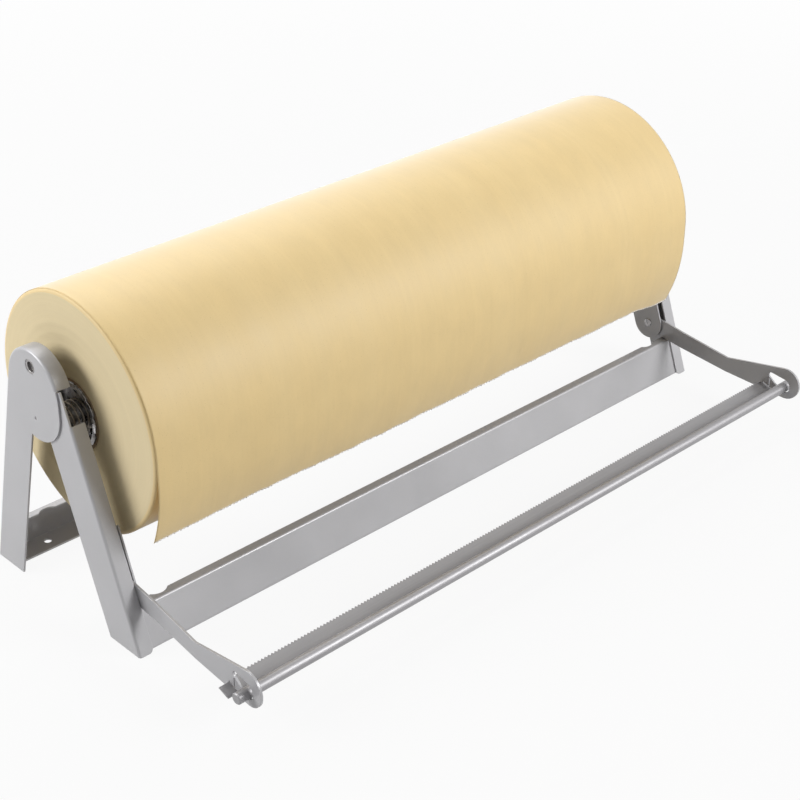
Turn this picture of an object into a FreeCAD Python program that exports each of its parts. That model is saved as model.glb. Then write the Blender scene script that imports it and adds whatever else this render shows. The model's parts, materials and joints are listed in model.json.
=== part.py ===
import FreeCAD, Part
import math
import os

os.makedirs("parts", exist_ok=True)

# Paper roll dispenser with a swinging cutter, for a counter top. Sizes are in millimetres.
# X runs along the roll, -Y is the front where the paper comes off, +Z is up.
# The origin is on the counter, at the centre of the four mounting holes.

# Overall sizes
roll_length = 609.6
roll_diameter = 198.0
base_depth = 195.0
roll_axis_ahead = 13.0
roll_axis_drop = 25.7

# Frame sheet metal
sheet = 1.6
bend_inside = 0.6
foot_round = 4.0
leg_width = 36.0
flange_width = 13.0
side_gap = 25.4
rear_lean_deg = 15.4

# Head of the end frame, where the two legs overlap
head_radius = 33.3
head_center_height = 190.0
head_straight = 9.0
head_plate_gap = 0.1
front_reveal = 2.9
arch_end_deg = 18.6
window_height = 25.5
arch_gap = 0.8

# Leg rivets in the head
eyelet_radius = 6.0
eyelet_bore = 4.1
eyelet_inset = 13.8
dowel_radius = 1.6
dowel_drop = 24.2
dowel_head_lip = 0.8
rivet_fit = 0.1
rivet_proud = 0.3
eyelet_head_lip = 1.6
rivet_head = 1.2

# Rails
rail_height = 34.2
rail_top_depth = 8.0
rail_foot_depth = 24.0
hole_radius = 3.25
hole_inset = 14.5
hole_from_end = 36.8
notch_depth = 3.7
notch_radius = 10.5

# Pivot of the cutter arms
pivot_above_rail = 11.8
pivot_setback = 19.7
bracket_radius = 16.0
bracket_rise = 46.0
pin_radius = 3.0
pin_fit = 0.05
pin_shoulder_lip = 2.0
pin_shoulder_gap = 0.1
pin_head_lip = 1.2
pin_head = 0.9
pin_slot_turn_deg = 60.0
pin_slot_width = 1.2
pin_slot_depth = 0.7

# Cutter arms
arm_sheet = 2.0
arm_side_gap = 0.4
arm_rear_radius = 8.9
arm_waist_reach = 95.0
arm_waist_half = 7.4
arm_end_reach = 158.2
arm_end_rise = 10.0
arm_end_radius = 15.0
arm_toe_deg = 2.2
arm_toe_start = 42.0
rail_rest_gap = 0.3

# Rod and the openings that hold it
rod_radius = 4.75
rod_overhang = 10.3
slot_setback = 1.3
slot_drop = 2.7
slot_play = 2.05
slot_tail_radius = 3.0
slot_tail_back = 13.6
slot_tail_up = 5.8
rod_gap = 0.3
rod_chamfer = 0.8

# Blade
blade_thickness = 1.0
blade_width = 19.0
blade_tilt_deg = 19.3
blade_rear_back = 25.9
blade_rear_drop = 4.5
blade_tab_width = 11.1
blade_tab_start = 3.6
blade_tab_length = 8.8
blade_slot_fit = 0.1
blade_slot_rise = 2.0
blade_end_gap = 0.1
tooth_pitch = 3.175
tooth_depth = 1.5
slit_width = 1.4
slit_height = 8.5
slit_setback = 3.3

# Hub that plugs the core
core_bore_radius = 25.4
core_wall = 3.9
hub_fit = 0.3
hub_sheet = 1.6
hub_rim_lip = 1.9
hub_reach = 8.4
hub_end_gap = 0.2
hub_boss_wall = 3.0
hub_boss_back = 8.4
hub_hole_radius = 3.6
hub_hole_ring = 17.8
hub_hole_count = 6
hub_notch_radius = 2.6
hub_notch_count = 12
hub_bore_fit = 0.06

# Hub axle with its washer and clip
axle_radius = 6.0
axle_foot_lip = 2.5
axle_foot = 2.0
axle_tip = 5.0
axle_tip_chamfer = 1.0
groove_depth = 1.0
washer_lip = 4.0
washer_thickness = 1.2
clip_lip = 2.6
clip_thickness = 1.2
clip_mouth = 7.0
stack_gap = 0.1

# Springs
hub_wire = 0.9
hub_coil_gap = 1.9
hub_turns = 6
spring_gap = 0.4

# Paper
paper_edge_round = 1.6
tail_gap = 0.15
tail_thickness = 0.7
tail_lead_deg = 40.0
tail_straight = 14.0
tail_curl_radius = 156.0
tail_end_height = 80.0


# Working allowances of the model itself: how far cuts overshoot, and how near counts as on a line
overshoot = 1.0
nearness = 0.01


# Sizes and places worked out from the sizes above

bend_outside = sheet + bend_inside
head_step = bend_outside + head_plate_gap
eyelet_rise = head_radius - eyelet_inset
slot_radius = rod_radius + slot_play
hub_rim_radius = core_bore_radius + hub_rim_lip
hub_boss_radius = axle_radius + hub_boss_wall
hub_coil_radius = hub_boss_radius + hub_wire + hub_coil_gap
groove_radius = axle_radius - groove_depth
pin_head_radius = pin_radius + pin_head_lip
pivot_height = rail_height + pivot_above_rail
frame_width = roll_length + 2 * side_gap
half_frame = frame_width / 2
half_depth = base_depth / 2
half_roll = roll_length / 2
roll_radius = roll_diameter / 2

rear_lean = math.radians(rear_lean_deg)
head_z = head_center_height
head_y = half_depth - math.tan(rear_lean) * head_z - head_radius / math.cos(rear_lean)

roll_y = head_y - roll_axis_ahead
roll_z = head_z - roll_axis_drop

# The front edge of the front leg runs from the base corner past the head at a set distance.
corner_to_head = math.hypot(head_y + half_depth, head_z)
front_lean = math.atan2(head_y + half_depth, head_z)
front_lean -= math.asin((head_radius + front_reveal) / corner_to_head)

# Directions in the side view, as (y, z): along a leg, and from its outer edge inwards.
front_up = (math.sin(front_lean), math.cos(front_lean))
front_in = (math.cos(front_lean), -math.sin(front_lean))
rear_up = (-math.sin(rear_lean), math.cos(rear_lean))
rear_in = (-math.cos(rear_lean), -math.sin(rear_lean))
front_foot = (-half_depth, 0.0)
rear_foot = (half_depth, 0.0)

# Left faces along X: the front leg's outer face, then what lies further in.
front_plate_x = -half_frame
rear_plate_x = front_plate_x - sheet
bracket_x = front_plate_x + sheet
arm_x = front_plate_x + flange_width + arm_side_gap
ear_x = arm_x + arm_sheet + arm_side_gap
roll_face_x = -half_roll

pivot_up = (pivot_height - pivot_setback * front_in[1]) / front_up[1]
pivot_y = front_foot[0] + pivot_up * front_up[0] + pivot_setback * front_in[0]
pivot_z = pivot_height
hole_x = half_frame - hole_from_end
hole_y = half_depth - hole_inset


def web_face(foot, upward, toward, z):
    """Height z's y on the outer face of a rail's web, which lies against the leg's flange."""
    return foot[0] + upward[0] / upward[1] * z + toward * sheet / upward[1]


# The arm's lower edge rests just above the top bend of the front rail, and is tangent to the
# round of its pivot end. The arm's own directions follow from that.
rest_bend_z = rail_height - bend_outside
rest_bend_y = web_face(front_foot, front_up, 1, rest_bend_z) + bend_outside / front_up[1]
rest_length = math.hypot(rest_bend_y - pivot_y, rest_bend_z - pivot_z)
rest_offset = arm_rear_radius + bend_outside + rail_rest_gap
rest_angle = math.atan2(rest_bend_z - pivot_z, rest_bend_y - pivot_y) - math.asin(rest_offset / rest_length)
arm_along = (math.cos(rest_angle), math.sin(rest_angle))
arm_across = (math.sin(rest_angle), -math.cos(rest_angle))


def arm_at(u, v):
    """Point (y, z) of the resting arm, u along it from the pivot and v above the pivot's line."""
    return (pivot_y + u * arm_along[0] + v * arm_across[0], pivot_z + u * arm_along[1] + v * arm_across[1])


arm_end = arm_at(arm_end_reach, arm_end_rise)
arm_bend_y = pivot_y - arm_toe_start


def arm_spread(y):
    """How far the toed-out arm lies outside its place at the pivot."""
    return math.tan(math.radians(arm_toe_deg)) * max(0.0, arm_bend_y - y)


slot_y = arm_end[0] + slot_setback
slot_z = arm_end[1] - slot_drop


def vec(x, y, z):
    return FreeCAD.Vector(x, y, z)


def along(foot, inward, upward, u, v):
    """Point (y, z) of a leg, u in from its outer edge and v up from its foot."""
    return (foot[0] + u * inward[0] + v * upward[0], foot[1] + u * inward[1] + v * upward[1])


def front_at(u, v):
    return along(front_foot, front_in, front_up, u, v)


def rear_at(u, v):
    return along(rear_foot, rear_in, rear_up, u, v)


def flat_face(corners):
    return Part.Face(Part.makePolygon(corners + [corners[0]]))


def plate(points, x, width):
    """Plate through side-view points (y, z), from x to x + width."""
    return flat_face([vec(x, y, z) for y, z in points]).extrude(vec(width, 0, 0))


def disc(y, z, radius, x, width):
    return Part.makeCylinder(radius, width, vec(x, y, z), vec(1, 0, 0))


def hole(y, z, radius, x, width):
    """Cutter for a round hole through a wall that starts at x."""
    return disc(y, z, radius, x - overshoot, width + 2 * overshoot)


def stadium(points_a, points_b, radius, x, width):
    """Plate with two round ends, centred on two side-view points."""
    (ya, za), (yb, zb) = points_a, points_b
    length = math.hypot(yb - ya, zb - za)
    ny = -(zb - za) / length * radius
    nz = (yb - ya) / length * radius
    middle = plate([(ya + ny, za + nz), (yb + ny, zb + nz), (yb - ny, zb - nz), (ya - ny, za - nz)], x, width)
    body = middle.fuse([disc(ya, za, radius, x, width), disc(yb, zb, radius, x, width)])
    return body.removeSplitter()


def one_solid(shape):
    """The single solid that a boolean result holds, with its split faces joined."""
    return shape.removeSplitter().Solids[0]


def revolved(points, y, z):
    """Solid of revolution about an axis along X, from (x, radius) points."""
    solid = flat_face([vec(x, r, 0) for x, r in points]).revolve(vec(0, 0, 0), vec(1, 0, 0), 360)
    solid.translate(vec(0, y, z))
    return solid


def mirrored(shape):
    return shape.mirror(vec(0, 0, 0), vec(1, 0, 0))


def rounded(shape, radius, wanted):
    """Fillet the edges that the test picks by their middle point."""
    edges = []
    for edge in shape.Edges:
        middle = edge.valueAt((edge.FirstParameter + edge.LastParameter) / 2)
        if wanted(edge, middle):
            edges.append(edge)
    return shape.makeFillet(radius, edges)


def export(name, shape):
    if not shape.isValid():
        raise ValueError(name + " isn't a valid shape")
    shape.exportStep("parts/" + name + ".step")


def export_pair(name, left_shape):
    export("left_" + name, left_shape)
    export("right_" + name, mirrored(left_shape))


# Bent edge of a leg: the quarter bend and the flange, as a section that is swept along the edge

def flange_section(place):
    """place(x, u) gives the point at x from the plate's outer face and u in from the outer edge."""
    def corner_point(radius, center):
        return place(center - radius * math.sqrt(0.5), center - radius * math.sqrt(0.5))

    b = bend_outside
    edges = [Part.Arc(place(0, b), corner_point(b, b), place(b, 0)).toShape(),
             Part.LineSegment(place(b, 0), place(flange_width, 0)).toShape(),
             Part.LineSegment(place(flange_width, 0), place(flange_width, sheet)).toShape(),
             Part.LineSegment(place(flange_width, sheet), place(b, sheet)).toShape(),
             Part.Arc(place(b, sheet), corner_point(b - sheet, b), place(sheet, b)).toShape(),
             Part.LineSegment(place(sheet, b), place(0, b)).toShape()]
    return Part.Face(Part.Wire(edges))


def straight_flange(leg_at, plate_x, length):
    """Flange up a leg's outer edge, from below the ground plane to its end."""
    start = -leg_width
    section = flange_section(lambda x, u: vec(plate_x + x, *leg_at(u, start)))
    (y0, z0), (y1, z1) = leg_at(0, start), leg_at(0, length)
    return section.extrude(vec(0, y1 - y0, z1 - z0))


def trimmed_leg(body, plate_x):
    """The leg cut off at the ground, with its rivet holes and a rounded flange corner."""
    below = Part.makeBox(frame_width * 2, base_depth * 2, leg_width * 2,
                         vec(-frame_width, -base_depth, -leg_width * 2))
    holes = [hole(head_y, head_z + eyelet_rise, eyelet_radius + rivet_fit, plate_x, sheet),
             hole(head_y, head_z - dowel_drop, dowel_radius + rivet_fit, plate_x, sheet)]
    body = one_solid(body.cut([below] + holes))

    # The flange's foot is rounded about an axis along Y, tangent to the ground and to the flange's edge.
    round_x = plate_x + flange_width - foot_round
    corner = Part.makeBox(2 * foot_round, 2 * base_depth, foot_round + overshoot,
                          vec(round_x, -base_depth, -overshoot))
    keep = Part.makeCylinder(foot_round, 2 * base_depth, vec(round_x, -base_depth, foot_round), vec(0, 1, 0))
    return one_solid(body.cut(corner.cut(keep)))


# Front leg: plate, front flange below the window, and the head plate that hides under the rear leg's

def front_leg():
    arch_angle = math.radians(arch_end_deg)
    top_z = head_z + (head_radius + front_reveal) * math.sin(arch_angle) - arch_gap
    top_v = top_z / front_up[1]
    flange_v = top_v - window_height / front_up[1]
    head = stadium((head_y, head_z), (head_y, head_z - head_straight), head_radius - head_step,
                   front_plate_x, sheet)
    strip = plate([front_at(bend_outside, -leg_width), front_at(bend_outside, flange_v),
                   front_at(0, flange_v), front_at(0, top_v), (head_y, head_z),
                   front_at(leg_width, top_v - leg_width), front_at(leg_width, -leg_width)],
                  front_plate_x, sheet)
    flange = straight_flange(front_at, front_plate_x, flange_v)
    return trimmed_leg(one_solid(strip.fuse([head, flange])), front_plate_x)


# Rear leg: plate and head, with one flange up its rear edge and over the head

def rear_leg():
    tangent_v = head_z / math.cos(rear_lean) + math.tan(rear_lean) * head_radius
    start = rear_lean
    sweep = 180 - arch_end_deg - rear_lean_deg
    head = stadium((head_y, head_z), (head_y, head_z - head_straight), head_radius, rear_plate_x, sheet)
    b = bend_outside

    def around(radius, height):
        return vec(rear_plate_x + height, radius * math.cos(start), radius * math.sin(start))

    low, high = -overshoot, sheet + overshoot
    band = flat_face([around(head_radius - b, low), around(head_radius + b, low),
                      around(head_radius + b, high), around(head_radius - b, high)])
    band = band.revolve(vec(0, 0, 0), vec(1, 0, 0), sweep)
    arch = flange_section(lambda x, u: around(head_radius - u, x))
    arch = arch.revolve(vec(0, 0, 0), vec(1, 0, 0), sweep)
    for piece in (band, arch):
        piece.translate(vec(0, head_y, head_z))
    edge_strip = plate([rear_at(-leg_width, 0), rear_at(-leg_width, tangent_v), rear_at(b, tangent_v),
                        rear_at(b, 0)], rear_plate_x - overshoot, sheet + 2 * overshoot)
    head = head.cut([band, edge_strip])
    strip = plate([rear_at(b, -leg_width), rear_at(b, tangent_v), (head_y, head_z),
                   rear_at(leg_width, head_z - head_straight), rear_at(leg_width, -leg_width)],
                  rear_plate_x, sheet)
    flange = straight_flange(rear_at, rear_plate_x, tangent_v)
    return trimmed_leg(one_solid(strip.fuse([head, flange, arch])), rear_plate_x)


export_pair("front_leg", front_leg())
export_pair("rear_leg", rear_leg())


# Rails: channels that lean with the legs, with a flat foot, screw holes and driver notches

def rail(foot, upward, toward, half_length):
    """toward is +1 where the channel opens to the rear, -1 where it opens to the front."""
    thick = toward * sheet / upward[1]
    base_y = web_face(foot, upward, toward, 0)
    top_y = web_face(foot, upward, toward, rail_height)
    lip_z = rail_height - sheet
    lip_y = top_y + toward * rail_top_depth
    heel_y = base_y + toward * rail_foot_depth
    web = [(base_y, 0), (top_y, rail_height), (top_y + thick, rail_height), (base_y + thick, 0)]
    top = [(top_y, rail_height), (lip_y, rail_height), (lip_y, lip_z),
           (web_face(foot, upward, toward, lip_z), lip_z)]
    heel = [(base_y, 0), (heel_y, 0), (heel_y, sheet), (web_face(foot, upward, toward, sheet), sheet)]
    pieces = [plate(points, -half_length, 2 * half_length) for points in (web, top, heel)]
    body = one_solid(pieces[0].fuse(pieces[1:]))

    def bend(edge, point):
        long_edge = edge.Length > half_length
        at_top = abs(point.z - rail_height) < nearness and abs(point.y - top_y) < nearness
        at_foot = abs(point.z) < nearness and abs(point.y - base_y) < nearness
        return long_edge and (at_top or at_foot)

    body = rounded(body, bend_outside, bend)
    notch_y = lip_y + toward * (notch_radius - notch_depth)
    cuts = []
    for x in (-hole_x, hole_x):
        cuts.append(Part.makeCylinder(hole_radius, 3 * sheet, vec(x, -toward * hole_y, -sheet)))
        cuts.append(Part.makeCylinder(notch_radius, 3 * sheet, vec(x, notch_y, rail_height - 2 * sheet)))
    return one_solid(body.cut(cuts))


export("front_rail", rail(front_foot, front_up, 1, -front_plate_x - bend_outside))
export("rear_rail", rail(rear_foot, rear_up, -1, -rear_plate_x - bend_outside))


# Eyelet and dowel rivets that join the two legs at the head

def eyelet():
    outer = rear_plate_x + rivet_proud
    inner = front_plate_x + sheet
    head = eyelet_radius + eyelet_head_lip
    return revolved([(outer, eyelet_bore), (outer, eyelet_radius), (inner, eyelet_radius), (inner, head),
                     (inner + rivet_head, head), (inner + rivet_head, 0), (inner, 0),
                     (inner, eyelet_bore)], head_y, head_z + eyelet_rise)


def dowel():
    outer = rear_plate_x + rivet_proud
    inner = front_plate_x + sheet
    head = dowel_radius + dowel_head_lip
    return revolved([(outer, 0), (outer, dowel_radius), (inner, dowel_radius), (inner, head),
                     (inner + rivet_head, head), (inner + rivet_head, 0)], head_y, head_z - dowel_drop)


export_pair("leg_eyelet", eyelet())
export_pair("leg_dowel", dowel())


# Pivot bracket: a channel inside the front leg, whose inner wall is the ear that shows

def pivot_bracket():
    depth = ear_x + sheet - bracket_x
    half = bracket_radius

    def at(u, v):
        """Point (y, z) of the bracket, u to the rear of the pivot and v up along the leg."""
        return along((pivot_y, pivot_z), front_in, front_up, u, v)

    def side(x):
        strip = plate([at(-half, 0), at(-half, bracket_rise), at(half, bracket_rise), at(half, 0)], x, sheet)
        return strip.fuse(disc(pivot_y, pivot_z, half, x, sheet))

    web = plate([at(half - sheet, 0), at(half - sheet, bracket_rise), at(half, bracket_rise), at(half, 0)],
                bracket_x, depth)
    body = one_solid(side(bracket_x).fuse([side(ear_x), web]))
    return one_solid(body.cut(hole(pivot_y, pivot_z, pin_radius + pin_fit, bracket_x, depth)))


# Arm pin: a shoulder keeps the arm by the ear, and the headed end has a slot across it

def arm_pin():
    tip = ear_x + sheet
    wall = bracket_x + sheet
    shoulder = arm_x - pin_shoulder_gap
    wide = pin_radius + pin_shoulder_lip
    pin = revolved([(bracket_x, 0), (bracket_x, pin_radius), (wall, pin_radius), (wall, wide),
                    (shoulder, wide), (shoulder, pin_radius), (tip, pin_radius), (tip, pin_head_radius),
                    (tip + pin_head, pin_head_radius - pin_head / 2), (tip + pin_head, 0)], pivot_y, pivot_z)
    slot = Part.makeBox(pin_slot_depth + overshoot, 4 * pin_head_radius, pin_slot_width,
                        vec(tip + pin_head - pin_slot_depth, -2 * pin_head_radius, -pin_slot_width / 2))
    slot.rotate(vec(0, 0, 0), vec(1, 0, 0), pin_slot_turn_deg)
    slot.translate(vec(0, pivot_y, pivot_z))
    return one_solid(pin.cut(slot))


export_pair("pivot_bracket", pivot_bracket())
export_pair("arm_pin", arm_pin())


# Cutter arm: a flat bar, round at the pivot, narrow at the waist and flared to a round end

blade_tilt = math.radians(blade_tilt_deg)
blade_rear_y = slot_y + blade_rear_back
blade_rear_z = slot_z - blade_rear_drop
blade_forward = (-math.cos(blade_tilt), -math.sin(blade_tilt))
blade_down = (math.sin(blade_tilt), -math.cos(blade_tilt))


def blade_at(u, v):
    """Point of the blade's section, u forward from the toothed edge and v below its top face."""
    return (blade_rear_y + u * blade_forward[0] + v * blade_down[0],
            blade_rear_z + u * blade_forward[1] + v * blade_down[1])


def tangent_line(center_a, radius_a, center_b, radius_b, side):
    """The two touch points of an outer tangent of two circles, on the upper (+1) or lower (-1) side."""
    dy = center_b[0] - center_a[0]
    dz = center_b[1] - center_a[1]
    length = math.hypot(dy, dz)
    base = math.atan2(dz, dy)
    turn = math.acos((radius_a - radius_b) / length)
    angle = base - side * turn
    unit = (math.cos(angle), math.sin(angle))
    return ((center_a[0] + radius_a * unit[0], center_a[1] + radius_a * unit[1]),
            (center_b[0] + radius_b * unit[0], center_b[1] + radius_b * unit[1]))


arm_block_x = arm_x - 2 * arm_spread(arm_end[0])
arm_block = arm_x + 2 * arm_sheet - arm_block_x


def arm_span(center_a, radius_a, center_b, radius_b):
    """Tapered bar between two circles."""
    upper = tangent_line(center_a, radius_a, center_b, radius_b, 1)
    lower = tangent_line(center_a, radius_a, center_b, radius_b, -1)
    bar = plate([upper[0], upper[1], lower[1], lower[0]], arm_block_x, arm_block)
    return bar.fuse([disc(center_a[0], center_a[1], radius_a, arm_block_x, arm_block),
                     disc(center_b[0], center_b[1], radius_b, arm_block_x, arm_block)])


def arm_sheet_space():
    """The toed-out sheet as seen from above, as tall as the arm and more."""
    rear_y = pivot_y + 2 * arm_rear_radius
    front_y = arm_end[0] - 2 * arm_end_radius
    spread = arm_spread(front_y)
    outer = [(arm_x, rear_y), (arm_x, arm_bend_y), (arm_x - spread, front_y)]
    outline = outer + [(x + arm_sheet, y) for x, y in reversed(outer)]
    floor_z = arm_end[1] - 3 * arm_end_radius
    return flat_face([vec(x, y, floor_z) for x, y in outline]).extrude(vec(0, 0, 6 * arm_end_radius))


def cutter_arm():
    pivot = (pivot_y, pivot_z)
    waist = arm_at(arm_waist_reach, arm_waist_half - arm_rear_radius)
    body = arm_span(pivot, arm_rear_radius, waist, arm_waist_half)
    body = body.fuse(arm_span(waist, arm_waist_half, arm_end, arm_end_radius))
    body = body.removeSplitter().common(arm_sheet_space())
    pin_bore = disc(pivot_y, pivot_z, pin_radius + pin_fit, arm_block_x, arm_block)
    wide = (slot_y, slot_z)
    narrow = (slot_y + slot_tail_back, slot_z + slot_tail_up)
    upper = tangent_line(wide, slot_radius, narrow, slot_tail_radius, 1)
    lower = tangent_line(wide, slot_radius, narrow, slot_tail_radius, -1)
    slot = plate([upper[0], upper[1], lower[1], lower[0]], arm_block_x, arm_block)
    slot = slot.fuse([disc(wide[0], wide[1], slot_radius, arm_block_x, arm_block),
                      disc(narrow[0], narrow[1], slot_tail_radius, arm_block_x, arm_block)])
    fit = blade_slot_fit
    tab_end = blade_tab_start + blade_tab_width
    rise = -blade_slot_rise
    tab_slot = plate([blade_at(blade_tab_start - fit, rise), blade_at(tab_end + fit, rise),
                      blade_at(tab_end + fit, blade_thickness + fit),
                      blade_at(blade_tab_start - fit, blade_thickness + fit)], arm_block_x, arm_block)
    slit_y, slit_z = blade_at(tab_end - slit_setback, rise)
    slit_top = slit_z + slit_height
    slit = plate([(slit_y, slit_z), (slit_y, slit_top), (slit_y + slit_width, slit_top),
                  (slit_y + slit_width, slit_z)], arm_block_x, arm_block)
    return one_solid(body.cut([pin_bore, slot, tab_slot, slit]))


export_pair("cutter_arm", cutter_arm())


# Blade: a tilted strip with teeth along its rear edge and a tab through each arm

def blade():
    inner = arm_spread(blade_rear_y) - arm_x - arm_sheet - blade_end_gap
    tip = arm_spread(blade_at(blade_tab_start, 0)[0]) - arm_x + blade_tab_length
    tab_end = blade_tab_start + blade_tab_width
    teeth = int(2 * (inner - tooth_pitch) / tooth_pitch)
    first = -teeth * tooth_pitch / 2
    outline = [(-inner, tooth_depth), (first, tooth_depth)]
    for index in range(teeth):
        outline.append((first + (index + 0.5) * tooth_pitch, 0.0))
        outline.append((first + (index + 1) * tooth_pitch, tooth_depth))
    outline += [(inner, tooth_depth), (inner, blade_tab_start), (tip, blade_tab_start),
                (tip, tab_end), (inner, tab_end), (inner, blade_width), (-inner, blade_width),
                (-inner, tab_end), (-tip, tab_end), (-tip, blade_tab_start), (-inner, blade_tab_start)]
    face = flat_face([vec(x, *blade_at(u, 0)) for x, u in outline])
    return face.extrude(vec(0, blade_down[0] * blade_thickness, blade_down[1] * blade_thickness))


export("cutter_blade", blade())


# Rod: a round bar that lies in the low end of the two openings

def paper_rod():
    half = arm_spread(slot_y) - arm_x + rod_overhang
    y = slot_y
    z = slot_z - slot_radius + rod_radius + rod_gap
    bar = Part.makeCylinder(rod_radius, 2 * half, vec(-half, y, z), vec(1, 0, 0))
    return bar.makeChamfer(rod_chamfer, [edge for edge in bar.Edges if edge.Closed])


export("paper_rod", paper_rod())


# Hub: a pressed cup that plugs the core, with a rim that meets the roll's end

hub_outer_x = roll_face_x - hub_end_gap - hub_sheet
hub_disc_x = roll_face_x + hub_reach - hub_sheet
washer_x = hub_disc_x + hub_sheet + stack_gap
groove_x = washer_x + washer_thickness + stack_gap


def hub():
    wall = core_bore_radius - hub_fit
    bore = axle_radius + hub_bore_fit
    cup = revolved([(hub_outer_x, wall - hub_sheet), (hub_outer_x, hub_rim_radius),
                    (hub_outer_x + hub_sheet, hub_rim_radius), (hub_outer_x + hub_sheet, wall),
                    (hub_disc_x + hub_sheet, wall), (hub_disc_x + hub_sheet, bore),
                    (hub_disc_x - hub_boss_back, bore), (hub_disc_x - hub_boss_back, hub_boss_radius),
                    (hub_disc_x, hub_boss_radius), (hub_disc_x, wall - hub_sheet)], roll_y, roll_z)
    cuts = []
    for index in range(hub_hole_count):
        turn = 2 * math.pi * index / hub_hole_count
        cuts.append(hole(roll_y + hub_hole_ring * math.cos(turn), roll_z + hub_hole_ring * math.sin(turn),
                         hub_hole_radius, hub_disc_x, hub_sheet))
    for index in range(hub_notch_count):
        turn = 2 * math.pi * (index + 0.5) / hub_notch_count
        reach = hub_rim_radius + hub_notch_radius / 2
        cuts.append(hole(roll_y + reach * math.cos(turn), roll_z + reach * math.sin(turn),
                         hub_notch_radius, hub_outer_x, hub_sheet))
    return one_solid(cup.cut(cuts))


# Hub axle with its foot on the front leg, and the washer and clip that stop the hub

def hub_axle():
    foot_x = front_plate_x + sheet
    foot = axle_radius + axle_foot_lip
    groove_end = groove_x + clip_thickness + 2 * stack_gap
    tip = groove_end + axle_tip
    return revolved([(foot_x, 0), (foot_x, foot), (foot_x + axle_foot, foot),
                     (foot_x + axle_foot, axle_radius), (groove_x, axle_radius), (groove_x, groove_radius),
                     (groove_end, groove_radius), (groove_end, axle_radius),
                     (tip - axle_tip_chamfer, axle_radius), (tip, axle_radius - axle_tip_chamfer),
                     (tip, 0)], roll_y, roll_z)


def ring(x, width, inner, outer):
    return revolved([(x, inner), (x, outer), (x + width, outer), (x + width, inner)], roll_y, roll_z)


def axle_washer():
    return ring(washer_x, washer_thickness, axle_radius + hub_bore_fit, axle_radius + washer_lip)


def axle_clip():
    x = groove_x + stack_gap
    radius = axle_radius + clip_lip
    body = ring(x, clip_thickness, groove_radius + hub_bore_fit, radius)
    mouth = Part.makeBox(clip_thickness + 2 * overshoot, clip_mouth, 2 * radius,
                         vec(x - overshoot, roll_y - clip_mouth / 2, roll_z))
    return one_solid(body.cut(mouth))


export_pair("hub", hub())
export_pair("hub_axle", hub_axle())
export_pair("axle_washer", axle_washer())
export_pair("axle_clip", axle_clip())


# Springs

def biarc_edges(start, start_dir, end, end_dir):
    """Two arcs that join two points and their directions smoothly."""
    chord = end - start
    total = start_dir + end_dir
    a = 2 * (1 - start_dir.dot(end_dir))
    b = 2 * chord.dot(total)
    reach = (-b + math.sqrt(b * b + 4 * a * chord.dot(chord))) / (2 * a)
    corner_a = start + start_dir * reach
    corner_b = end - end_dir * reach
    joint = (corner_a + corner_b) * 0.5
    return [arc_between(start, corner_a, joint), arc_between(joint, corner_b, end)]


def arc_between(start, corner, end):
    """Arc from start to end, whose end tangents meet at the corner."""
    middle = (start + end) * 0.5
    half_chord = (end - start).Length / 2
    rise = (corner - middle).Length
    leg = (corner - start).Length
    bulge = half_chord * rise / (leg + half_chord)
    return Part.Arc(start, middle + (corner - middle).normalize() * bulge, end).toShape()


def coil_solid(center, radius, wire_radius, turns, pitch, start_turn, ends):
    """Round wire wound about an axis along X, with straight ends along the wire."""
    steps = int(round(4 * turns))
    stations = []
    for index in range(steps + 1):
        turn = start_turn + index * math.pi / 2
        place = center + vec(pitch * index / 4, radius * math.cos(turn), radius * math.sin(turn))
        heading = vec(pitch / (2 * math.pi), -radius * math.sin(turn), radius * math.cos(turn)).normalize()
        stations.append((place, heading))
    first, first_dir = stations[0]
    last, last_dir = stations[-1]
    start = first - first_dir * ends[0]
    finish = last + last_dir * ends[1]
    edges = [Part.LineSegment(start, first).toShape()]
    for (a, a_dir), (b, b_dir) in zip(stations, stations[1:]):
        edges += biarc_edges(a, a_dir, b, b_dir)
    edges.append(Part.LineSegment(last, finish).toShape())
    path = Part.Wire(edges)
    section = Part.Wire(Part.makeCircle(wire_radius, start, first_dir))
    shell = Part.BRepOffsetAPI.MakePipeShell(path)
    shell.add(section)
    shell.build()
    shell.makeSolid()
    solid = shell.shape()
    expected = math.pi * wire_radius ** 2 * path.Length
    gap = self_gap(center, radius, wire_radius, turns, pitch, start_turn)
    print("coil: %.2f of its expected volume, least gap to itself %.2f mm" % (solid.Volume / expected, gap))
    return solid.Solids[0] if solid.Solids else solid


def self_gap(center, radius, wire_radius, turns, pitch, start_turn):
    """Least gap between neighbouring turns, measured on points along the wire."""
    count = 48
    points = []
    for index in range(int(count * turns) + 1):
        turn = start_turn + 2 * math.pi * index / count
        points.append(center + vec(pitch * index / count, radius * math.cos(turn), radius * math.sin(turn)))
    least = None
    for i, a in enumerate(points):
        for b in points[i + count // 2:]:
            gap = a.distanceToPoint(b) - 2 * wire_radius
            if least is None or gap < least:
                least = gap
    return least


def hub_spring():
    start_x = front_plate_x + sheet + axle_foot + spring_gap + hub_wire
    end_x = hub_disc_x - spring_gap - hub_wire
    pitch = (end_x - start_x) / hub_turns
    center = vec(start_x, roll_y, roll_z)
    return coil_solid(center, hub_coil_radius, hub_wire, hub_turns, pitch, 0, (2 * hub_wire, 2 * hub_wire))


export_pair("hub_spring", hub_spring())


# Paper: the core tube, the wound roll and the loose end that hangs in front

def core_tube():
    radius = core_bore_radius
    return ring(-half_roll, roll_length, radius, radius + core_wall)


def paper_roll():
    body = ring(-half_roll, roll_length, core_bore_radius + core_wall, roll_radius)

    def rim(edge, point):
        circle = edge.Curve
        return edge.Closed and abs(circle.Radius - roll_radius) < nearness

    return rounded(body, paper_edge_round, rim)


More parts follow.
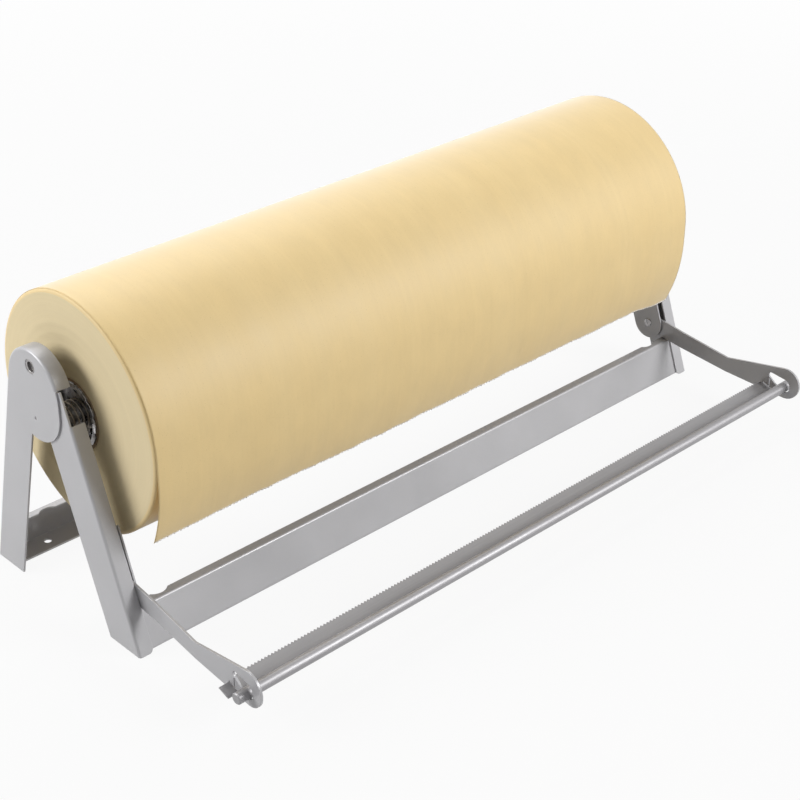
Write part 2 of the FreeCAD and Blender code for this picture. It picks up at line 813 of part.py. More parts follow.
def paper_tail():
    lead = math.radians(180 - tail_lead_deg)
    inner = roll_radius + tail_gap
    outer = inner + tail_thickness
    front = roll_y - inner

    def on_roll(radius, angle):
        return vec(-half_roll, roll_y + radius * math.cos(angle), roll_z + radius * math.sin(angle))

    straight_z = roll_z - tail_straight
    bow = math.asin((straight_z - tail_end_height) / tail_curl_radius)
    curl_y = front + tail_curl_radius

    def on_curl(radius, angle):
        return vec(-half_roll, curl_y - radius * math.cos(angle), straight_z - radius * math.sin(angle))

    inner_curl = tail_curl_radius
    outer_curl = tail_curl_radius + tail_thickness
    edges = [Part.Arc(on_roll(inner, lead), on_roll(inner, (lead + math.pi) / 2),
                      on_roll(inner, math.pi)).toShape(),
             Part.LineSegment(vec(-half_roll, front, roll_z), vec(-half_roll, front, straight_z)).toShape(),
             Part.Arc(on_curl(inner_curl, 0), on_curl(inner_curl, bow / 2),
                      on_curl(inner_curl, bow)).toShape(),
             Part.LineSegment(on_curl(inner_curl, bow), on_curl(outer_curl, bow)).toShape(),
             Part.Arc(on_curl(outer_curl, bow), on_curl(outer_curl, bow / 2),
                      on_curl(outer_curl, 0)).toShape(),
             Part.LineSegment(on_curl(outer_curl, 0), on_roll(outer, math.pi)).toShape(),
             Part.Arc(on_roll(outer, math.pi), on_roll(outer, (lead + math.pi) / 2),
                      on_roll(outer, lead)).toShape(),
             Part.LineSegment(on_roll(outer, lead), on_roll(inner, lead)).toShape()]
    face = Part.Face(Part.Wire(edges))
    return face.extrude(vec(roll_length, 0, 0))


export("core_tube", core_tube())
export("paper_roll", paper_roll())
export("paper_tail", paper_tail())
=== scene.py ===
import json
import math
import random

import bpy
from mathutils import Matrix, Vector, noise


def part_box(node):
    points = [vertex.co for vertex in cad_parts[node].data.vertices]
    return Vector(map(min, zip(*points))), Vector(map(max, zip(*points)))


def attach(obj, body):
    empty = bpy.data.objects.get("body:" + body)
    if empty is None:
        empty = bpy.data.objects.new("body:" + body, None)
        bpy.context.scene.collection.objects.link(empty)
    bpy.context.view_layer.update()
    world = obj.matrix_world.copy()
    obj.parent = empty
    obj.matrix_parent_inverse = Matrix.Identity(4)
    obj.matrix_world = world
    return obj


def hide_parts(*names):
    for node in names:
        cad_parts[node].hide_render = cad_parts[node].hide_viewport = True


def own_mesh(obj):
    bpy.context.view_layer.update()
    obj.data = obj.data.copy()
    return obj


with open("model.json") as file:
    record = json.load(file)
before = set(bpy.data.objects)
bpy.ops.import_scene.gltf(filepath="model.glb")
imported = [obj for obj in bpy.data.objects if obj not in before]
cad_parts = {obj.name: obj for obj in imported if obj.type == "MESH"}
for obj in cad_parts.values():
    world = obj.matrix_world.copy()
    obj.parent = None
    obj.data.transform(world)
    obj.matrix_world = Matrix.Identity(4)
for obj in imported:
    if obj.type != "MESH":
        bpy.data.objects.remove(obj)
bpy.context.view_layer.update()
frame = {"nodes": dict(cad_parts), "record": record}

# Paper roll dispenser with a swinging cutter. Lengths are in metres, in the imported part's own frame:
# X along the roll, -Y the front, +Z up.

# Camera
camera_place = Vector((-0.89169, -0.97296, 0.80644))
camera_target = Vector((0.0312, -0.0024, 0.0446))
camera_lens_mm = 76.58
camera_sensor_mm = 36.0

# Wound paper
paper_thickness = 0.00022
layer_slack = 0.00004
box_clearance = 0.00005
rim_inset = 0.0014
rim_fall = 2.4 * rim_inset
layer_step_most = 0.00022
layer_step_seed = 7

# Divisions of the paper's meshes
roll_sides = 240
middle_steps = 24
rim_steps = 6
face_steps = 34
wrap_rows = 120
tail_rows = 30

# Loose end of the paper
tail_straight = 0.014
tail_curl_radius = 0.156
tail_end_height = 0.0892
tail_corner_drop = 0.0066
tail_corner_start = 0.245
tail_corner_end = 0.290
ripple_height = 0.0012
ripple_across = 9
ripple_along = 14
ripple_seed = 0.7
crinkle_height = 0.0005
crinkle_across = 40
crinkle_along = 30
crinkle_seed = 5.0

# Torn edge
tooth_pitch = 0.003175
tear_depth = 0.0010
tear_wander = 0.0012
tear_rate = 60
tear_seed = 3.1
tear_quick_rate = 330
tear_quick_seed = 9.2
tear_quick_share = 0.6

# Hub springs
spring_turns = 6
spring_wire_radius = 0.0009
spring_stations = 32
spring_sides = 12

# Linear colours
kraft_main = (0.718, 0.540, 0.256, 1)
kraft_light = (0.800, 0.645, 0.360, 1)
kraft_dark = (0.560, 0.395, 0.180, 1)
end_pale = (0.690, 0.585, 0.375, 1)
paint_grey = (0.440, 0.437, 0.450, 1)
cutter_grey = (0.415, 0.412, 0.425, 1)
steel_grey = (0.310, 0.305, 0.313, 1)
rod_grey = (0.320, 0.315, 0.325, 1)
wire_grey = (0.240, 0.205, 0.165, 1)
zinc_grey = (0.360, 0.350, 0.355, 1)
# Painted reflection colour: the brown paper as seen in the zinc
zinc_painted_reflection = (0.260, 0.235, 0.200, 1)
# Painted highlight colour for the zinc's edges
zinc_painted_highlight = (0.800, 0.800, 0.800, 1)
board_brown = (0.330, 0.235, 0.140, 1)
floor_dark = (0.500, 0.500, 0.500, 1)
floor_light = (0.530, 0.530, 0.530, 1)
white = (1, 1, 1, 1)

# Values that most of a noise texture lies between
noise_low = 0.3
noise_high = 0.7

# Bends and corners that the shading treats as edges, as the dot product with the flat normal
edge_from = 0.999
edge_full = 0.93
edge_samples = 6

# Floor and surroundings
world_level = 0.13
floor_half_size = 6.0
floor_drop = 0.0002
shadow_reach = 0.7
white_reach = 1.8
near_whiteness = 0.92


# Node helpers

def tinted(color, factor):
    """The colour made lighter or darker."""
    return tuple(min(1.0, channel * factor) for channel in color[:3]) + (1,)


def seen_ray(tree):
    """1 for camera, glossy and transmission rays, which show the surroundings, and 0 for the rest."""
    rays = tree.nodes.new("ShaderNodeLightPath")
    seen = rays.outputs["Is Camera Ray"]
    for name in ("Is Glossy Ray", "Is Transmission Ray"):
        larger = tree.nodes.new("ShaderNodeMath")
        larger.operation = "MAXIMUM"
        tree.links.new(seen, larger.inputs[0])
        tree.links.new(rays.outputs[name], larger.inputs[1])
        seen = larger.outputs["Value"]
    return seen


class Recipe:
    """A material's node tree, with short calls for the nodes that the finishes share."""

    def __init__(self, name, metallic=0.0, specular=0.5):
        self.material = bpy.data.materials.new(name)
        self.material.use_nodes = True
        self.tree = self.material.node_tree
        self.shader = self.tree.nodes["Principled BSDF"]
        self.shader.inputs["Metallic"].default_value = metallic
        self.shader.inputs["Specular IOR Level"].default_value = specular
        self.place = self.node("ShaderNodeTexCoord")
        self.space = self.place.outputs["Object"]

    def node(self, kind, **settings):
        made = self.tree.nodes.new(kind)
        for key, value in settings.items():
            setattr(made, key, value)
        return made

    def link(self, source, target):
        self.tree.links.new(source, target)

    def feed(self, value, socket):
        """Links an output to the socket, or sets the socket to a plain value."""
        if isinstance(value, (int, float, tuple)):
            socket.default_value = value
        else:
            self.link(value, socket)

    def noise(self, vector, scale, detail=3, roughness=0.5):
        made = self.node("ShaderNodeTexNoise")
        made.inputs["Scale"].default_value = scale
        made.inputs["Detail"].default_value = detail
        made.inputs["Roughness"].default_value = roughness
        self.link(vector, made.inputs["Vector"])
        return made.outputs["Fac"]

    def drawn_noise(self, scale, detail=3, roughness=0.5, source="Object"):
        """Noise with a scale of its own along each axis, so that it can be drawn out into lines."""
        mapping = self.node("ShaderNodeMapping")
        mapping.inputs["Scale"].default_value = scale
        self.link(self.place.outputs[source], mapping.inputs["Vector"])
        return self.noise(mapping.outputs["Vector"], 1, detail, roughness)

    def spread(self, value, low=noise_low, high=noise_high, to_low=0.0, to_high=1.0):
        """value's range low..high mapped to to_low..to_high, and held there outside it."""
        made = self.node("ShaderNodeMapRange")
        ends = {"From Min": low, "From Max": high, "To Min": to_low, "To Max": to_high}
        for name, number in ends.items():
            made.inputs[name].default_value = number
        self.link(value, made.inputs["Value"])
        return made.outputs["Result"]

    def combine(self, operation, a, b):
        made = self.node("ShaderNodeMath", operation=operation)
        self.feed(a, made.inputs[0])
        self.feed(b, made.inputs[1])
        return made.outputs["Value"]

    def add(self, a, b):
        return self.combine("ADD", a, b)

    def scaled(self, value, factor):
        return self.combine("MULTIPLY", value, factor)

    def vector_math(self, operation, *values):
        made = self.node("ShaderNodeVectorMath", operation=operation)
        for index, value in enumerate(values):
            self.feed(value, made.inputs[index])
        return made

    def mix(self, factor, a, b):
        """Colour a where the factor is 0 and b where it is 1, through the node's colour sockets."""
        made = self.node("ShaderNodeMix", data_type="RGBA")
        factor_socket, a_socket, b_socket = made.inputs[0], made.inputs[6], made.inputs[7]
        self.feed(factor, factor_socket)
        self.feed(a, a_socket)
        self.feed(b, b_socket)
        return made.outputs[2]

    def varied(self, mask, color, dark, light):
        """The colour times dark where the mask is 0, and times light where it is 1."""
        return self.mix(mask, tinted(color, dark), tinted(color, light))

    def cover(self, tone, mask, color, strength):
        """tone with the colour laid over it where the mask is 1, at the given strength."""
        return self.mix(self.scaled(mask, strength), tone, color)

    def edges(self, radius):
        """1 on sharp edges and 0 on flats, where the finishes paint highlights, and the normal that rounds
        those edges.
        """
        bevel = self.node("ShaderNodeBevel", samples=edge_samples)
        bevel.inputs["Radius"].default_value = radius
        flat = self.node("ShaderNodeNewGeometry")
        dot = self.vector_math("DOT_PRODUCT", bevel.outputs["Normal"], flat.outputs["True Normal"])
        return self.spread(dot.outputs["Value"], edge_from, edge_full), bevel.outputs["Normal"]

    def bump(self, height, strength, distance, normal=None):
        made = self.node("ShaderNodeBump")
        made.inputs["Strength"].default_value = strength
        made.inputs["Distance"].default_value = distance
        self.link(height, made.inputs["Height"])
        if normal is not None:
            self.link(normal, made.inputs["Normal"])
        return made.outputs["Normal"]

    def finish(self, color, roughness, normal):
        self.link(color, self.shader.inputs["Base Color"])
        self.link(roughness, self.shader.inputs["Roughness"])
        self.link(normal, self.shader.inputs["Normal"])
        return self.material


# Finishes

def powder_coat(name, color):
    """Satin powder coat: orange peel, drifting tone, fine grit, faint dark scuffs and painted highlights on
    its edges.
    """
    r = Recipe(name, metallic=0.15, specular=0.5)
    drift = r.spread(r.noise(r.space, scale=14, detail=4))
    grain = r.noise(r.space, scale=1500, detail=2)
    grit = r.spread(r.noise(r.space, scale=2600, detail=1), low=0.66, high=0.74)
    scuff = r.spread(r.drawn_noise((120, 40, 700), detail=5, roughness=0.7), low=0.60, high=0.78)
    painted_highlight_edge, rounded = r.edges(radius=0.0006)
    tone = r.varied(drift, color, dark=0.95, light=1.05)
    tone = r.cover(tone, grit, tinted(color, 1.35), strength=0.35)
    tone = r.cover(tone, scuff, tinted(color, 0.72), strength=0.10)
    # Painted highlight: bends and corners are lightened in the colour.
    tone = r.cover(tone, painted_highlight_edge, tinted(color, 1.45), strength=0.40)
    satin = r.spread(drift, low=0, high=1, to_low=0.31, to_high=0.39)
    rough = r.add(satin, r.scaled(scuff, 0.06))
    peel = r.add(r.noise(r.space, scale=420, detail=1), r.scaled(grain, 0.35))
    return r.finish(tone, rough, r.bump(peel, strength=0.22, distance=0.00012, normal=rounded))


def drawn_steel(name, color, line_scale, roughness):
    """Bare steel with slight stains, painted highlights on its edges and fine lines, or a plain grain at an
    even scale.
    """
    r = Recipe(name, metallic=0.45)
    lines = r.drawn_noise(line_scale, detail=4, roughness=0.65)
    fine = r.drawn_noise(tuple(4 * scale for scale in line_scale), detail=2)
    stain = r.spread(r.drawn_noise((18, 30, 30), detail=5, roughness=0.6), low=0.45, high=0.75)
    painted_highlight_edge, rounded = r.edges(radius=0.0004)
    tone = r.varied(r.spread(lines), color, dark=0.93, light=1.07)
    tone = r.cover(tone, stain, tinted(color, 0.72), strength=0.22)
    # Painted highlight: the edges are lightened in the colour.
    tone = r.cover(tone, painted_highlight_edge, tinted(color, 1.5), strength=0.5)
    satin = r.spread(lines, to_low=roughness - 0.05, to_high=roughness + 0.06)
    rough = r.add(satin, r.scaled(stain, 0.08))
    return r.finish(tone, rough, r.bump(r.add(lines, fine), strength=0.10, distance=0.00008, normal=rounded))


def zinc_plate():
    """Zinc plate with its crystal mottle, dark brown patches of painted reflection and painted highlights on
    its edges.
    """
    r = Recipe("zinc_plate", metallic=1.0)
    field = r.node("ShaderNodeTexNoise")
    field.inputs["Scale"].default_value = 160
    r.link(r.space, field.inputs["Vector"])
    field_reach = (0.006, 0.006, 0.006)
    wobble = r.vector_math("MULTIPLY_ADD", field.outputs["Color"], field_reach, r.space)
    spangle = r.node("ShaderNodeTexVoronoi")
    spangle.inputs["Scale"].default_value = 210
    r.link(wobble.outputs["Vector"], spangle.inputs["Vector"])
    cell = r.node("ShaderNodeSeparateColor")
    r.link(spangle.outputs["Color"], cell.inputs["Color"])
    painted_reflection_patch = r.spread(r.noise(r.space, scale=70, detail=5, roughness=0.6), low=0.42, high=0.68)
    painted_highlight_edge, rounded = r.edges(radius=0.0005)
    tone = r.varied(cell.outputs["Red"], zinc_grey, dark=0.55, light=1.35)
    # Painted reflection: dark brown patches stand in for the paper reflected in the zinc, and they also
    # roughen it.
    tone = r.cover(tone, painted_reflection_patch, zinc_painted_reflection, strength=0.45)
    # Painted highlight: the edges are lightened towards a near-white colour.
    tone = r.cover(tone, painted_highlight_edge, zinc_painted_highlight, strength=0.4)
    mottle = r.spread(cell.outputs["Green"], low=0, high=1, to_low=0.18, to_high=0.42)
    rough = r.add(mottle, r.scaled(painted_reflection_patch, 0.15))
    relief = spangle.outputs["Distance"]
    return r.finish(tone, rough, r.bump(relief, strength=0.15, distance=0.0004, normal=rounded))


def core_board():
    """Chipboard tube: grey-brown pulp, flecks and faint slanting seams."""
    r = Recipe("core_board", specular=0.25)
    seam = r.node("ShaderNodeTexWave", wave_type="BANDS", bands_direction="DIAGONAL")
    seam.inputs["Scale"].default_value = 6
    seam.inputs["Distortion"].default_value = 0.4
    r.link(r.space, seam.inputs["Vector"])
    pulp = r.noise(r.space, scale=380, detail=5, roughness=0.65)
    fleck = r.spread(r.noise(r.space, scale=1100, detail=2), low=0.62, high=0.70)
    seam_line = r.spread(seam.outputs["Fac"], low=0.96, high=1.0, to_high=0.5)
    tone = r.varied(r.spread(pulp), board_brown, dark=0.78, light=1.22)
    tone = r.cover(tone, fleck, tinted(board_brown, 0.45), strength=0.5)
    tone = r.mix(seam_line, tone, tinted(board_brown, 0.5))
    rough = r.spread(pulp, to_low=0.8, to_high=0.95)
    return r.finish(tone, rough, r.bump(pulp, strength=0.4, distance=0.0003))


def kraft_surface():
    """Kraft paper: pulp cloud, crossing fibres, machine streaks along its length and a soft sheen."""
    r = Recipe("kraft_surface", specular=0.6)
    r.shader.inputs["Sheen Weight"].default_value = 0.7
    r.shader.inputs["Sheen Roughness"].default_value = 0.35
    cloud = r.drawn_noise((55, 30, 1), detail=5, roughness=0.6, source="UV")
    streak = r.drawn_noise((260, 2.2, 1), detail=3, roughness=0.6, source="UV")
    wide_streak = r.drawn_noise((26, 1.1, 1), detail=2, source="UV")
    fibre = r.drawn_noise((1900, 420, 1), detail=3, roughness=0.7, source="UV")
    cross_fibre = r.drawn_noise((520, 1500, 1), detail=2, roughness=0.6, source="UV")
    fleck = r.spread(r.drawn_noise((1300, 760, 1), detail=1, source="UV"), low=0.69, high=0.76)
    dimple = r.spread(r.drawn_noise((95, 60, 1), detail=1, source="UV"), low=0.72, high=0.80, to_high=5)
    tone = r.varied(r.spread(cloud), kraft_main, dark=0.965, light=1.035)
    tone = r.mix(r.spread(fibre, low=0.55, high=0.75, to_high=0.30), tone, kraft_light)
    tone = r.mix(r.spread(cross_fibre, low=0.58, high=0.75, to_high=0.22), tone, kraft_dark)
    tone = r.mix(r.spread(streak, to_high=0.12), tone, kraft_dark)
    tone = r.mix(r.spread(wide_streak, low=0.35, high=0.65, to_high=0.10), tone, kraft_light)
    tone = r.cover(tone, fleck, tinted(kraft_dark, 0.6), strength=0.35)
    fibre_gloss = r.spread(fibre, to_low=0.50, to_high=0.62)
    rough = r.add(fibre_gloss, r.spread(cloud, to_low=-0.03, to_high=0.03))
    relief = r.add(r.add(fibre, r.scaled(streak, 0.8)), dimple)
    return r.finish(tone, rough, r.bump(relief, strength=0.14, distance=0.00012))


def kraft_edges(center):
    """The roll's end: cut layer edges, seen as fine and wide rings about the core."""
    r = Recipe("kraft_edges", specular=0.25)
    offset = r.vector_math("SUBTRACT", r.space, center)
    flat = r.vector_math("MULTIPLY", offset.outputs["Vector"], (0, 1, 1))
    reach = r.vector_math("LENGTH", flat.outputs["Vector"]).outputs["Value"]

    def rings(rate, roughness):
        line = r.node("ShaderNodeCombineXYZ")
        r.link(r.scaled(reach, rate), line.inputs["X"])
        return r.noise(line.outputs["Vector"], scale=1, detail=3, roughness=roughness)

    fine = rings(rate=1500, roughness=0.7)
    wide = rings(rate=150, roughness=0.6)
    patch = r.noise(r.space, scale=28, detail=4, roughness=0.6)
    dust = r.noise(r.space, scale=900, detail=3, roughness=0.6)
    tone = r.varied(r.spread(wide), end_pale, dark=0.96, light=1.03)
    tone = r.mix(r.spread(fine, low=0.35, high=0.65, to_low=0.16, to_high=0), tone, kraft_dark)
    tone = r.mix(r.spread(patch, low=0.35, to_high=0.25), tone, tinted(end_pale, 1.06))
    tone = r.mix(r.spread(dust, low=0.55, high=0.75, to_high=0.12), tone, kraft_dark)
    rough = r.spread(dust, to_low=0.74, to_high=0.88)
    relief = r.add(fine, r.scaled(dust, 0.4))
    return r.finish(tone, rough, r.bump(relief, strength=0.35, distance=0.0002))


def floor_finish():
    """Pale matt floor that reads as white where it is seen, and takes a soft shadow near the object."""
    r = Recipe("floor_finish", specular=0.1)
    r.shader.inputs["Roughness"].default_value = 0.9
    r.link(r.mix(r.noise(r.space, scale=40), floor_dark, floor_light), r.shader.inputs["Base Color"])
    glow = r.node("ShaderNodeEmission")
    reach = r.vector_math("LENGTH", r.space).outputs["Value"]
    whiteness = r.spread(reach, shadow_reach, white_reach, near_whiteness, 1.0)
    blend = r.node("ShaderNodeMixShader")
    r.link(r.scaled(seen_ray(r.tree), whiteness), blend.inputs[0])
    r.link(r.shader.outputs["BSDF"], blend.inputs[1])
    r.link(glow.outputs["Emission"], blend.inputs[2])
    r.link(blend.outputs["Shader"], r.tree.nodes["Material Output"].inputs["Surface"])
    return r.material


# Mesh helpers

def make_piece(name, vertices, faces, materials, smooth=True):
    mesh = bpy.data.meshes.new(name)
    mesh.from_pydata(vertices, [], faces)
    mesh.validate()
    mesh.update()
    for material in materials:
        mesh.materials.append(material)
    for polygon in mesh.polygons:
        polygon.use_smooth = smooth
    piece = bpy.data.objects.new(name, mesh)
    bpy.context.scene.collection.objects.link(piece)
    return piece


def set_uvs(piece, place):
    """place(vertex index, polygon index) gives a corner's surface coordinates, in metres."""
    layer = piece.data.uv_layers.new(name="surface")
    for polygon in piece.data.polygons:
        for corner in polygon.loop_indices:
            vertex = piece.data.loops[corner].vertex_index
            layer.data[corner].uv = place(vertex, polygon.index)


# Paper roll: what lies under the outermost layer, with layers that step back towards each rim

roll_low, roll_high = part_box("paper_roll")
half_roll = roll_high.x
roll_radius = (roll_high.z - roll_low.z) / 2
axis_y = (roll_low.y + roll_high.y) / 2
axis_z = (roll_low.z + roll_high.z) / 2
core_low, core_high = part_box("core_tube")
core_radius = (core_high.z - core_low.z) / 2
outer_radius = roll_radius - box_clearance
wound_radius = outer_radius - 2 * paper_thickness - layer_slack
half_width = half_roll - rim_inset


def roll_profile():
    """Half of the roll's section, as (x, radius) from the middle out to the core."""
    points = []
    for index in range(middle_steps + 1):
        points.append((index / middle_steps * half_width, wound_radius))
    for index in range(1, rim_steps + 1):
        turn = index / rim_steps * math.pi / 2
        x = half_roll - rim_inset * (1 - math.sin(turn))
        points.append((x, wound_radius - rim_fall * (1 - math.cos(turn))))
    start = points[-1][1]
    generator = random.Random(layer_step_seed)
    for index in range(1, face_steps + 1):
        radius = start + (core_radius - start) * index / face_steps
        step = generator.uniform(0.0, layer_step_most) if index < face_steps else 0.0
        points.append((half_roll - step, radius))
    return points


def build_roll(surface, ends):
    """The roll as a section turned about its axis. Its ends and bore have the second material."""
    right = roll_profile()
    section = [(-x, radius) for x, radius in reversed(right)] + right[1:]
    vertices = []
    for x, radius in section:
        for side in range(roll_sides):
            turn = 2 * math.pi * side / roll_sides
            vertices.append((x, axis_y + radius * math.cos(turn), axis_z + radius * math.sin(turn)))
    faces = []
    rows = len(section)
    for row in range(rows):
        here, below = row * roll_sides, (row + 1) % rows * roll_sides
        for side in range(roll_sides):
            beside = (side + 1) % roll_sides
            faces.append((here + side, here + beside, below + beside, below + side))
    piece = make_piece("kraft_roll", vertices, faces, [surface, ends])
    first_surface_row = face_steps + 1
    last_surface_row = rows - first_surface_row - 2
    for polygon in piece.data.polygons:
        row = polygon.index // roll_sides
        if not first_surface_row <= row <= last_surface_row:
            polygon.material_index = 1

    def place(vertex, polygon):
        x = section[vertex // roll_sides][0]
        side = vertex % roll_sides
        if side == 0 and polygon % roll_sides == roll_sides - 1:
            side = roll_sides
        return (x, wound_radius * 2 * math.pi * side / roll_sides)

    set_uvs(piece, place)
    return piece


# Outermost layer: one turn over the roll, then the loose end that hangs in front with a torn edge

def tail_bottom(x):
    """Height of the torn edge: level, lower at the right corner, with the cutter's teeth in it."""
    share = (x - tail_corner_start) / (tail_corner_end - tail_corner_start)
    share = min(1.0, max(0.0, share))
    drop = tail_corner_drop * share * share * (3 - 2 * share)
    tooth = abs((x / tooth_pitch) % 1 - 0.5) * 2
    wander = noise.noise(Vector((x * tear_rate, tear_seed, 0)))
    wander += tear_quick_share * noise.noise(Vector((x * tear_quick_rate, tear_quick_seed, 0)))
    return tail_end_height - drop + tear_depth * (tooth - 0.5) + tear_wander * wander


def tail_length(bottom):
    """Length of the hanging paper from the front of the roll down to a height."""
    down = (axis_z - tail_straight - bottom) / tail_curl_radius
    return tail_straight + tail_curl_radius * math.asin(min(1.0, down))


def paper_line(length):
    """(y, z, dy, dz) at a length down the hanging paper: its inner face and the outward direction."""
    front_y = axis_y - outer_radius + paper_thickness
    if length < tail_straight:
        return (front_y, axis_z - length, -1.0, 0.0)
    turn = (length - tail_straight) / tail_curl_radius
    y = front_y + tail_curl_radius * (1 - math.cos(turn))
    z = axis_z - tail_straight - tail_curl_radius * math.sin(turn)
    return (y, z, -math.cos(turn), -math.sin(turn))


def wrap_point(row):
    """(y, z, dy, dz, along) of the inner face at a row of the full turn, which ends at the front."""
    left = 1 - row / wrap_rows
    turn = math.pi - left * 2 * math.pi
    inner = outer_radius - paper_thickness - left * (paper_thickness + layer_slack)
    dy, dz = math.cos(turn), math.sin(turn)
    return (axis_y + inner * dy, axis_z + inner * dz, dy, dz, -left * 2 * math.pi * outer_radius)


def tail_point(x, row):
    """(y, z, dy, dz, along) of the inner face at a row of the hanging end, with its slight ripples."""
    full = tail_length(tail_bottom(x))
    along = full * row / tail_rows
    y, z, dy, dz = paper_line(along)
    loose = max(0.0, along - tail_straight) / (full - tail_straight)
    ripple = noise.noise(Vector((x * ripple_across, along * ripple_along, ripple_seed)))
    crinkle = noise.noise(Vector((x * crinkle_across, along * crinkle_along, crinkle_seed)))
    lift = loose * (ripple_height * ripple + crinkle_height * crinkle)
    return (y + lift * dy, z + lift * dz, dy, dz, along)


def sheet_faces(columns, rows, total):
    """Faces of a closed sheet: its inner side, its outer side and, last, its four edges."""
    count = columns + 1
    inner_side = []
    outer_side = []
    edges = []
    for row in range(rows):
        for column in range(columns):
            a = row * count + column
            b = total + a
            inner_side.append((a, a + 1, a + count + 1, a + count))
            outer_side.append((b, b + count, b + count + 1, b + 1))
    for column in range(columns):
        top, low = column, rows * count + column
        edges.append((top + 1, top, total + top, total + top + 1))
        edges.append((low, low + 1, total + low + 1, total + low))
    for row in range(rows):
        left, right = row * count, row * count + columns
        edges.append((left, left + count, total + left + count, total + left))
        edges.append((right + count, right, total + right, total + right + count))
    return inner_side, outer_side, edges


def build_outer_layer(surface, ends):
    """The outermost layer of paper as a closed sheet, and its flat width and length."""
    columns = 2 * int(2 * half_width / tooth_pitch)
    rows = wrap_rows + tail_rows
    inner_points = []
    outer_points = []
    lengths = []
    for row in range(rows + 1):
        for column in range(columns + 1):
            x = -half_width + 2 * half_width * column / columns
            if row <= wrap_rows:
                y, z, dy, dz, along = wrap_point(row)
            else:
                y, z, dy, dz, along = tail_point(x, row - wrap_rows)
            inner_points.append((x, y, z))
            outer_points.append((x, y + paper_thickness * dy, z + paper_thickness * dz))
            lengths.append((x, along))
    total = len(inner_points)
    inner_side, outer_side, edges = sheet_faces(columns, rows, total)
    faces = inner_side + outer_side + edges
    piece = make_piece("kraft_outer_layer", inner_points + outer_points, faces, [surface, ends])
    for polygon in piece.data.polygons:
        if polygon.index >= len(inner_side) + len(outer_side):
            polygon.use_smooth = False
    set_uvs(piece, lambda vertex, polygon: lengths[vertex % total])
    length = 2 * math.pi * outer_radius + tail_length(tail_end_height)
    return piece, (2 * half_width, length)


roll_center = (0, axis_y, axis_z)
kraft = kraft_surface()
layers = kraft_edges(roll_center)

roll = build_roll(kraft, layers)
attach(roll, "roll")
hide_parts("paper_roll")

outer_layer, outer_flat = build_outer_layer(kraft, layers)
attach(outer_layer, "roll")
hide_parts("paper_tail")


# Hub springs: coils between the fixed axle and the hub cup, which shorten as the cup slides out

def build_hub_coil(side, surface):
    """Round wire with capped ends, wound from the spring's outer end to its inner end."""
    low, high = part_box(side + "_hub_spring")
    outer_x, inner_x = (low.x, high.x) if side == "left" else (high.x, low.x)
    inward = 1 if side == "left" else -1
    first_x = outer_x + inward * spring_wire_radius
    length = abs(inner_x - outer_x) - 2 * spring_wire_radius
    coil_radius = (high.z - low.z) / 2 - spring_wire_radius
    middle = (low + high) / 2
    across = Vector((inward, 0, 0))
    steps = spring_turns * spring_stations
    vertices = []
    for step in range(steps + 1):
        turn = 2 * math.pi * step / spring_stations
        outward = Vector((0, math.cos(turn), math.sin(turn)))
        center = Vector((first_x + inward * length * step / steps, middle.y, middle.z))
        center += coil_radius * outward
        for index in range(spring_sides):
            around = 2 * math.pi * index / spring_sides
            spoke = math.cos(around) * outward + math.sin(around) * across
            vertices.append(tuple(center + spring_wire_radius * spoke))
    first_cap = tuple(range(spring_sides))
    last_cap = tuple(steps * spring_sides + index for index in reversed(first_cap))
    faces = [first_cap, last_cap]
    for step in range(steps):
        here, there = step * spring_sides, (step + 1) * spring_sides
        for index in range(spring_sides):
            beside = (index + 1) % spring_sides
            faces.append((there + index, there + beside, here + beside, here + index))
    if side == "right":
        faces = [face[::-1] for face in faces]
    coil = make_piece(side + "_hub_coil", vertices, faces, [surface])
    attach(coil, "frame")
    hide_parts(side + "_hub_spring")
    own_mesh(coil)


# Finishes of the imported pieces, by their material slot

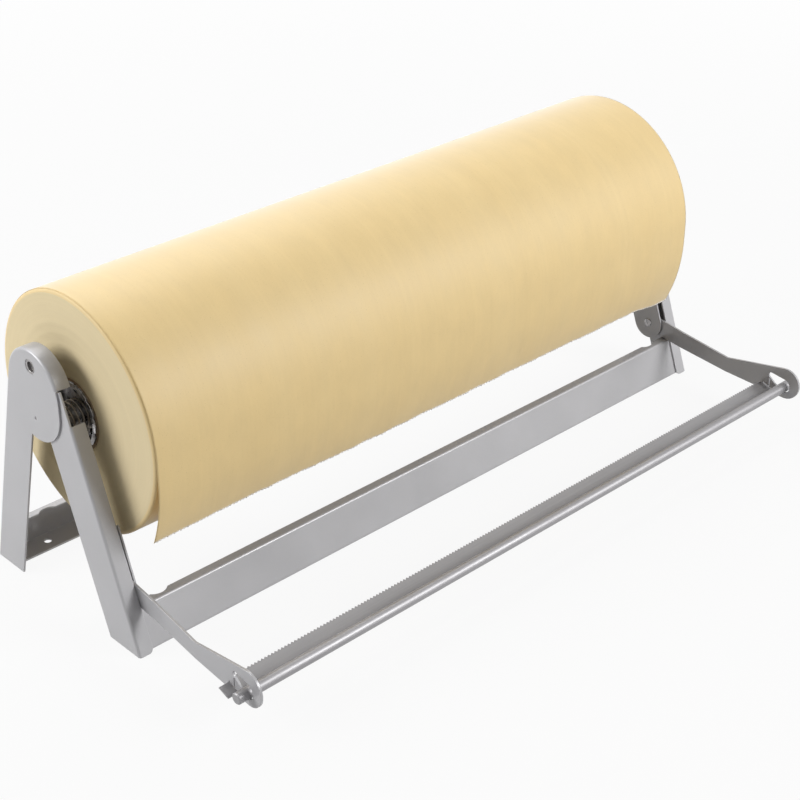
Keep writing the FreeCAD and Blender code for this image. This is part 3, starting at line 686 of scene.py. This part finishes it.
finishes = {
    "frame_paint": powder_coat("frame_coat", paint_grey),
    "cutter_paint": powder_coat("cutter_coat", cutter_grey),
    "blade_steel": drawn_steel("blade_steel", steel_grey, line_scale=(6, 900, 900), roughness=0.46),
    "rod_steel": drawn_steel("rod_steel", rod_grey, line_scale=(10, 1200, 1200), roughness=0.44),
    "zinc": zinc_plate(),
    "spring_steel": drawn_steel("spring_wire", wire_grey, line_scale=(300, 300, 300), roughness=0.35),
    "core_board": core_board(),
    "kraft_paper": kraft,
}
for side in ("left", "right"):
    build_hub_coil(side, finishes["spring_steel"])
slot_of = {part["node"]: part["material_slot"] for part in frame["record"]["subparts"]}
for name, obj in frame["nodes"].items():
    obj.data.materials.clear()
    obj.data.materials.append(finishes[slot_of[name]])


# Floor, surroundings, lights and camera

def add_floor():
    signs = ((-1, -1), (1, -1), (1, 1), (-1, 1))
    corners = [(x * floor_half_size, y * floor_half_size, -floor_drop) for x, y in signs]
    floor = make_piece("floor", corners, [(0, 1, 2, 3)], [floor_finish()], smooth=False)


def add_world():
    """White surroundings: full white where they are seen, and softer where they light the object."""
    world = bpy.data.worlds.new("surroundings")
    bpy.context.scene.world = world
    world.use_nodes = True
    tree = world.node_tree
    background = tree.nodes["Background"]
    background.inputs["Color"].default_value = white
    level = tree.nodes.new("ShaderNodeMapRange")
    level.inputs["To Min"].default_value = world_level
    level.inputs["To Max"].default_value = 1.0
    tree.links.new(seen_ray(tree), level.inputs["Value"])
    tree.links.new(level.outputs["Result"], background.inputs["Strength"])


def aim(holder, place, target):
    """Puts a light or camera at a place, and turns it to face a target."""
    holder.location = place
    holder.rotation_euler = (Vector(target) - Vector(place)).to_track_quat("-Z", "Y").to_euler()
    bpy.context.scene.collection.objects.link(holder)


def add_area_light(name, place, target, width, height, power):
    light = bpy.data.lights.new(name, "AREA")
    light.shape = "RECTANGLE"
    light.size = width
    light.size_y = height
    light.energy = power
    aim(bpy.data.objects.new(name, light), place, target)


def add_camera():
    lens = bpy.data.cameras.new("camera")
    lens.sensor_width = camera_sensor_mm
    lens.lens = camera_lens_mm
    holder = bpy.data.objects.new("camera", lens)
    aim(holder, camera_place, camera_target)
    bpy.context.scene.camera = holder


add_floor()
add_world()
add_area_light("top_softbox", place=(0.1, 0.95, 1.4), target=(0, 0, 0.18), width=1.8, height=0.9, power=17)
add_area_light("left_softbox", place=(-1.5, 0.85, 0.9), target=(0, 0, 0.1), width=0.9, height=0.9, power=25)
add_area_light("front_softbox", place=(1.0, -1.85, 1.25), target=(0, 0, 0.1), width=1.2, height=0.9, power=47)
add_camera()
bpy.context.scene.view_settings.view_transform = "Standard"
